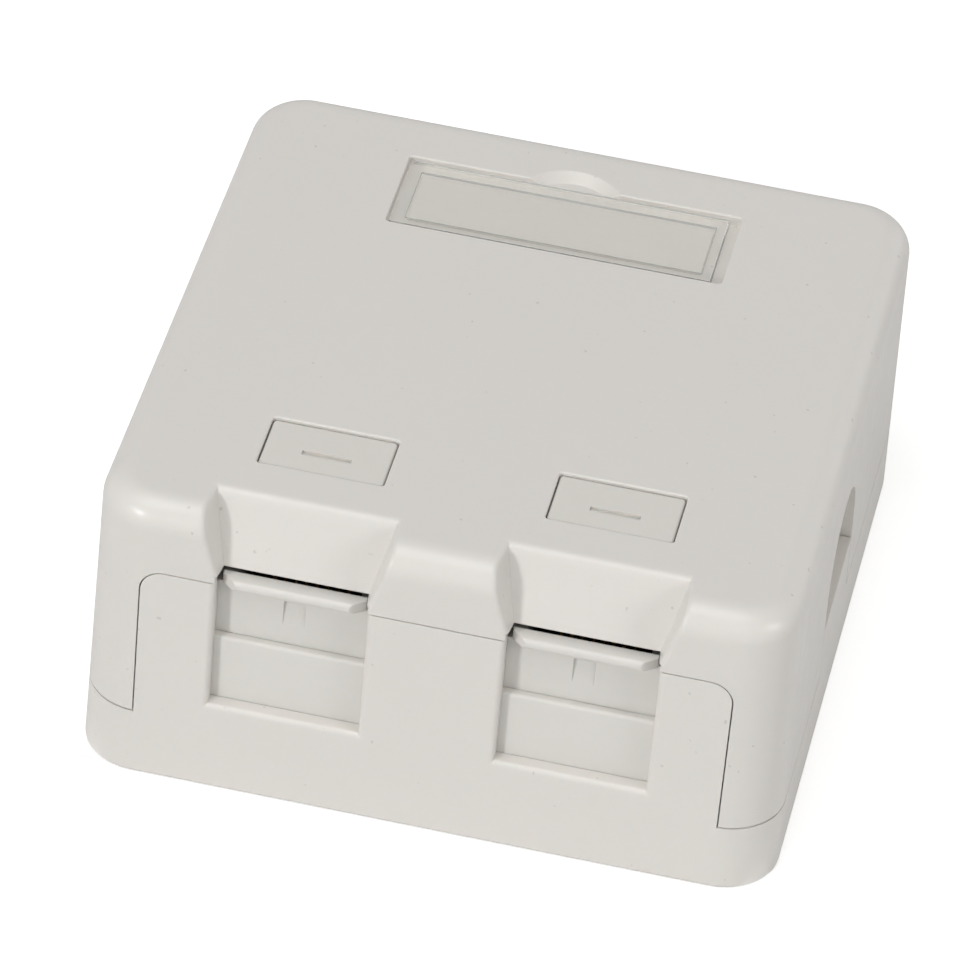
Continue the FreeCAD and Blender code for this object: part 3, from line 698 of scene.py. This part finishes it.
@dataclass(frozen=True)
class CoilSpring:
    """Compression spring with closed end turns, in the place of the CAD coil."""

    side: Side
    wire: float = 0.35 * MM
    turns: float = 8.0
    steps: int = 26
    wire_sides: int = 12
    left_at_limit: float = 0.36

    def build(self, shelf: FinishShelf) -> bpy.types.Object:
        """Wind the spring.

        Args:
            shelf: Where the finish comes from.

        Returns:
            The spring.
        """
        node = self.side.node("shutter_spring")
        low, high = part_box(node)
        middle = (low + high) / 2
        rise = high.z - low.z - self.wire
        graph = NodeGraph("coil_" + self.side.value, {
            "Radius": (high.x - low.x - self.wire) / 2, "Wire": self.wire / 2, "Rise": rise,
            "Turns": self.turns, "Closed": self.turns * self.wire / rise, "End": 1.0 / self.turns})
        given = graph.given
        ring = graph.add("CurveSpiral", {"Resolution": self.steps, "Rotations": given["Turns"], "Height": 0.0,
                                         "Start Radius": given["Radius"], "End Radius": given["Radius"]})
        along = graph.add("SplineParameter").outputs["Factor"]
        far_end = graph.math("SUBTRACT", 1.0, given["End"])
        eased = graph.add("MapRange", {"Value": along, "From Min": given["End"], "From Max": far_end},
                          interpolation_type="SMOOTHSTEP").outputs["Result"]
        flat = graph.math("MULTIPLY", along, given["Closed"])
        open_share = graph.math("SUBTRACT", 1.0, given["Closed"])
        height = graph.math("MULTIPLY", graph.math("MULTIPLY_ADD", eased, open_share, flat), given["Rise"])
        lift = graph.add("CombineXYZ", {"Z": height})
        coil = graph.add("SetPosition", {"Geometry": ring.outputs[0], "Offset": lift.outputs[0]})
        profile = graph.add("CurvePrimitiveCircle", {"Resolution": self.wire_sides, "Radius": given["Wire"]})
        swept = graph.add("CurveToMesh", {"Curve": coil.outputs[0], "Profile Curve": profile.outputs[0],
                                          "Fill Caps": True})
        foot = Vector((middle.x, middle.y, low.z + self.wire / 2))
        placed = graph.add("Transform", {"Geometry": swept.outputs[0], "Translation": foot})
        spring = graph.bake(placed.outputs[0], bpy.data.meshes.new("spring_start"), shelf.get(Finish.SPRING))
        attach(spring, BASE_BODY)
        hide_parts(node)
        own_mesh(spring)
        LOG.info("%s: spring of %g turns", spring.name, self.turns)
        return spring


@dataclass(frozen=True)
class ContactRow:
    """Eight round spring wires that rise from the board and slope down to the front."""

    side: Side
    count: int = 8
    pitch: float = 1.016 * MM
    wire: float = 0.19 * MM
    bend: float = 0.55 * MM
    bend_steps: int = 6
    wire_sides: int = 10
    path: tuple[tuple[float, float], ...] = (
        (1.0, 0.0), (1.0, 0.9), (0.86, 0.985), (0.06, 0.57), (0.0, 0.49))

    def build(self, shelf: FinishShelf) -> bpy.types.Object:
        """Bend one wire and repeat it along the row.

        Args:
            shelf: Where the finish comes from.

        Returns:
            The row of wires.
        """
        node = self.side.node("contact_wires")
        low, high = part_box(node)
        room = high - low
        points = []
        for depth, height in self.path:
            y = low.y + self.wire + depth * (room.y - 2 * self.wire)
            points.append((0.0, y, low.z + height * (room.z - self.wire)))
        sizes = {"Wire": self.wire, "Bend": self.bend, "Count": self.count}
        graph = NodeGraph("contacts_" + self.side.value, sizes)
        given = graph.given
        line = graph.add("MeshToCurve", {"Mesh": given["Geometry"]})
        bent = graph.add("FilletCurve", {"Curve": line.outputs[0], "Radius": given["Bend"],
                                         "Count": self.bend_steps}, mode="POLY")
        profile = graph.add("CurvePrimitiveCircle", {"Resolution": self.wire_sides, "Radius": given["Wire"]})
        wire = graph.add("CurveToMesh", {"Curve": bent.outputs[0], "Profile Curve": profile.outputs[0],
                                         "Fill Caps": True})
        first = (low.x + high.x) / 2 - (self.count - 1) / 2 * self.pitch
        places = graph.add("MeshLine", {"Count": given["Count"], "Start Location": (first, 0.0, 0.0),
                                        "Offset": (self.pitch, 0.0, 0.0)})
        row = graph.add("InstanceOnPoints", {"Points": places.outputs[0], "Instance": wire.outputs[0]})
        contacts = graph.bake(row.outputs[0], path_mesh("wire_path", points), shelf.get(Finish.CONTACT))
        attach(contacts, BASE_BODY)
        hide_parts(node)
        LOG.info("%s: %d contacts", contacts.name, self.count)
        return contacts


@dataclass(frozen=True)
class BladeBank:
    """Two columns of forked blades that cut into the wires."""

    side: Side
    rows: int = 4
    columns: int = 2
    half: float = 1.0 * MM
    thick: float = 0.4 * MM
    throat: float = 0.2 * MM
    throat_share: float = 0.58
    mouth: float = 0.8 * MM
    mouth_depth: float = 0.95 * MM
    corner: float = 0.12 * MM
    corner_steps: int = 3
    weld: float = 0.001 * MM

    def outline(self, foot: float, top: float) -> list[tuple[float, float, float]]:
        """Fork outline of one blade, lying flat: across it first, then up it.

        Args:
            foot: Height of its lower end.
            top: Height of its tips.

        Returns:
            The outline's points.
        """
        slot = foot + (top - foot) * self.throat_share
        half = [(self.half, foot), (self.half, top), (self.mouth, top), (self.throat, top - self.mouth_depth),
                (self.throat, slot)]
        turned = [(-across, height) for across, height in reversed(half)]
        return [(across, height, 0.0) for across, height in half + turned]

    def build(self, shelf: FinishShelf) -> bpy.types.Object:
        """Cut one blade and repeat it over the bank.

        Args:
            shelf: Where the finish comes from.

        Returns:
            The bank of blades.
        """
        node = self.side.node("idc_blades")
        low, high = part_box(node)
        middle = (low + high) / 2
        graph = NodeGraph("blades_" + self.side.value, {
            "Corner": self.corner, "Thickness": self.thick, "Rows": self.rows, "Columns": self.columns,
            "Across": high.x - low.x - self.thick, "Along": high.y - low.y - 2 * self.half})
        given = graph.given
        loop = graph.add("MeshToCurve", {"Mesh": given["Geometry"]})
        eased = graph.add("FilletCurve", {"Curve": loop.outputs[0], "Radius": given["Corner"],
                                          "Count": self.corner_steps, "Limit Radius": True}, mode="POLY")
        sheet = graph.add("FillCurve", {"Curve": eased.outputs[0]}, mode="NGONS")
        thick = graph.add("ExtrudeMesh", {"Mesh": sheet.outputs[0], "Offset Scale": given["Thickness"],
                                          "Individual": False}, mode="FACES")
        back = graph.add("FlipFaces", {"Mesh": sheet.outputs[0]})
        shell = graph.add("JoinGeometry")
        for part in (thick, back):
            graph.tree.links.new(part.outputs[0], shell.inputs[0])
        solid = graph.add("MergeByDistance", {"Geometry": shell.outputs[0], "Distance": self.weld})
        quarter = math.pi / 2
        blade = graph.add("Transform", {"Geometry": solid.outputs[0], "Rotation": (quarter, 0.0, quarter),
                                        "Translation": (-self.thick / 2, 0.0, 0.0)})
        places = graph.add("MeshGrid", {"Size X": given["Across"], "Size Y": given["Along"],
                                        "Vertices X": given["Columns"], "Vertices Y": given["Rows"]})
        centre = (middle.x, middle.y, 0.0)
        spots = graph.add("Transform", {"Geometry": places.outputs[0], "Translation": centre})
        bank = graph.add("InstanceOnPoints", {"Points": spots.outputs[0], "Instance": blade.outputs[0]})
        fork = path_mesh("blade_outline", self.outline(low.z, high.z), closed=True)
        blades = graph.bake(bank.outputs[0], fork, shelf.get(Finish.BLADE))
        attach(blades, BASE_BODY)
        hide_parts(node)
        LOG.info("%s: %d blades", blades.name, self.rows * self.columns)
        return blades


@dataclass(frozen=True)
class NodeLook:
    """The finish of one CAD node that shows as it is."""

    node: str
    finish: Finish

    def build(self, shelf: FinishShelf) -> bpy.types.Object:
        """Dress the node.

        Args:
            shelf: Where the finish comes from.

        Returns:
            The dressed node.
        """
        piece = frame["nodes"][self.node]
        dress(piece, shelf.get(self.finish))
        LOG.info("%s: %s", piece.name, self.finish.value.name)
        return piece


# ---- Studio ----


@dataclass(frozen=True)
class SoftLight:
    """A square lamp aimed at the box."""

    name: str
    azimuth: float
    elevation: float
    distance: float
    size: float
    power: float

    def build(self, target: Vector) -> bpy.types.Object:
        """Hang the lamp.

        Args:
            target: Point that it faces.

        Returns:
            The lamp.
        """
        lamp = bpy.data.lights.new(self.name, "AREA")
        lamp.size = self.size
        lamp.energy = self.power
        place = bpy.data.objects.new(self.name, lamp)
        away = direction(self.azimuth, self.elevation)
        place.location = target + away * self.distance
        place.rotation_mode = "QUATERNION"
        place.rotation_quaternion = (-away).to_track_quat("-Z", "Y")
        bpy.context.scene.collection.objects.link(place)
        return place


def direction(azimuth: float, elevation: float) -> Vector:
    """Direction from the box towards a viewer or lamp.

    Args:
        azimuth: Degrees round the box, 0 in front and positive to the right.
        elevation: Degrees above the horizon.

    Returns:
        Unit vector away from the box.
    """
    turn, rise = math.radians(azimuth), math.radians(elevation)
    return Vector((math.sin(turn) * math.cos(rise), -math.cos(turn) * math.cos(rise), math.sin(rise)))


@dataclass
class Studio:
    """Camera, lamps, world and floor."""

    azimuth: float = 9.09
    elevation: float = 39.27
    roll: float = 5.23
    distance: float = 0.6727
    lens: float = 259.2
    sensor: float = 36.0
    clip: tuple[float, float] = (0.01, 20.0)
    aim: Vector = field(default_factory=lambda: Vector((-0.0024, -0.0016, 0.0163)))
    floor_size: Vector = field(default_factory=lambda: Vector((3.0, 3.0, 0.0)))
    floor_lap: float = 0.5 * MM
    floor_drop: float = 0.05 * MM
    floor_colour: tuple[float, float, float, float] = (0.82, 0.82, 0.815, 1.0)
    world_strength: float = 0.36
    floor_glow: float = 0.5
    lamps: tuple[SoftLight, ...] = (
        SoftLight("key", azimuth=-33.0, elevation=22.0, distance=1.6, size=0.2, power=8.8),
        SoftLight("overhead", azimuth=-35.0, elevation=72.0, distance=1.5, size=0.9, power=7.6),
        SoftLight("right", azimuth=66.0, elevation=26.0, distance=1.7, size=0.5, power=6.0),
        SoftLight("backdrop", azimuth=141.0, elevation=14.0, distance=1.6, size=1.0, power=2.0),
        SoftLight("under", azimuth=10.0, elevation=-65.0, distance=1.6, size=0.9, power=14.0),
    )

    def camera(self) -> None:
        """Set up the camera at the viewing angle."""
        data = bpy.data.cameras.new("camera")
        data.lens = self.lens
        data.sensor_width = self.sensor
        data.clip_start, data.clip_end = self.clip
        camera = bpy.data.objects.new("camera", data)
        back = direction(self.azimuth, self.elevation)
        camera.location = self.aim + back * self.distance
        camera.rotation_mode = "QUATERNION"
        upright = (-back).to_track_quat("-Z", "Y")
        camera.rotation_quaternion = upright @ Quaternion((0.0, 0.0, 1.0), math.radians(self.roll))
        bpy.context.scene.collection.objects.link(camera)
        bpy.context.scene.camera = camera

    def world(self) -> None:
        """White surroundings for the eye and a plain level of light."""
        world = bpy.data.worlds.new("studio")
        world.use_nodes = True
        nodes, links = world.node_tree.nodes, world.node_tree.links
        nodes.clear()
        output = nodes.new("ShaderNodeOutputWorld")
        mix = nodes.new("ShaderNodeMixShader")
        links.new(any_ray(world.node_tree, "Camera", "Glossy", "Transmission"), mix.inputs["Fac"])
        for number, strength in ((1, self.world_strength), (2, 1.0)):
            plain = nodes.new("ShaderNodeBackground")
            plain.inputs["Strength"].default_value = strength
            plain.inputs["Color"].default_value = WHITE
            links.new(plain.outputs["Background"], mix.inputs[number])
        links.new(mix.outputs["Shader"], output.inputs["Surface"])
        bpy.context.scene.world = world

    def floor(self) -> None:
        """A pale floor, open under the box and clear from below, that keeps a faint shadow."""
        low, high = (Vector(corner) for corner in CAD_BOX)
        edge = Vector((self.floor_lap, self.floor_lap, 0.0))
        corners = []
        for start, end in ((-self.floor_size, self.floor_size), (low + edge, high - edge)):
            corners += [(x, y, -self.floor_drop) for x, y in
                        ((start.x, start.y), (end.x, start.y), (end.x, end.y), (start.x, end.y))]
        mesh = bpy.data.meshes.new("floor")
        mesh.from_pydata(corners, [], [(i, (i + 1) % 4, 4 + (i + 1) % 4, 4 + i) for i in range(4)])
        floor = new_piece("floor", mesh)
        tree = ShaderTree("floor_white")
        tree.sockets(Base_Color=self.floor_colour, Roughness=0.9, Specular_IOR_Level=0.1)
        glow = tree.nodes.new("ShaderNodeEmission")
        seen = any_ray(tree.material.node_tree, "Camera")
        tree.join(tree.spread(seen, 0.0, self.floor_glow), glow.inputs["Strength"])
        both = tree.nodes.new("ShaderNodeAddShader")
        tree.join(tree.shader.outputs["BSDF"], both.inputs[0])
        tree.join(glow.outputs["Emission"], both.inputs[1])
        clear = tree.nodes.new("ShaderNodeBsdfTransparent")
        sided = tree.nodes.new("ShaderNodeMixShader")
        tree.join(tree.nodes.new("ShaderNodeNewGeometry").outputs["Backfacing"], sided.inputs["Fac"])
        tree.join(both.outputs["Shader"], sided.inputs[1])
        tree.join(clear.outputs["BSDF"], sided.inputs[2])
        tree.join(sided.outputs["Shader"], tree.output.inputs["Surface"])
        floor.data.materials.append(tree.material)

    def build(self) -> None:
        """Set up the whole studio."""
        self.camera()
        self.world()
        self.floor()
        for lamp in self.lamps:
            lamp.build(self.aim)
        bpy.context.scene.view_settings.view_transform = "Standard"


def main() -> None:
    """Build every piece and the studio."""
    logging.basicConfig(level=logging.INFO, format="%(message)s")
    shelf = FinishShelf()
    Studio().build()
    looks = [NodeLook("cover", Finish.COVER), NodeLook("base", Finish.BASE),
             NodeLook("label_window", Finish.WINDOW), NodeLook("label_card", Finish.CARD)]
    for side in Side:
        for piece, finish in SIDE_FINISHES.items():
            looks.append(NodeLook(side.node(piece), finish))
    for look in looks:
        look.build(shelf)
    for side in Side:
        for repeated in (CoilSpring(side), ContactRow(side), BladeBank(side)):
            repeated.build(shelf)
    bpy.context.view_layer.update()


if __name__ == "__main__":
    main()
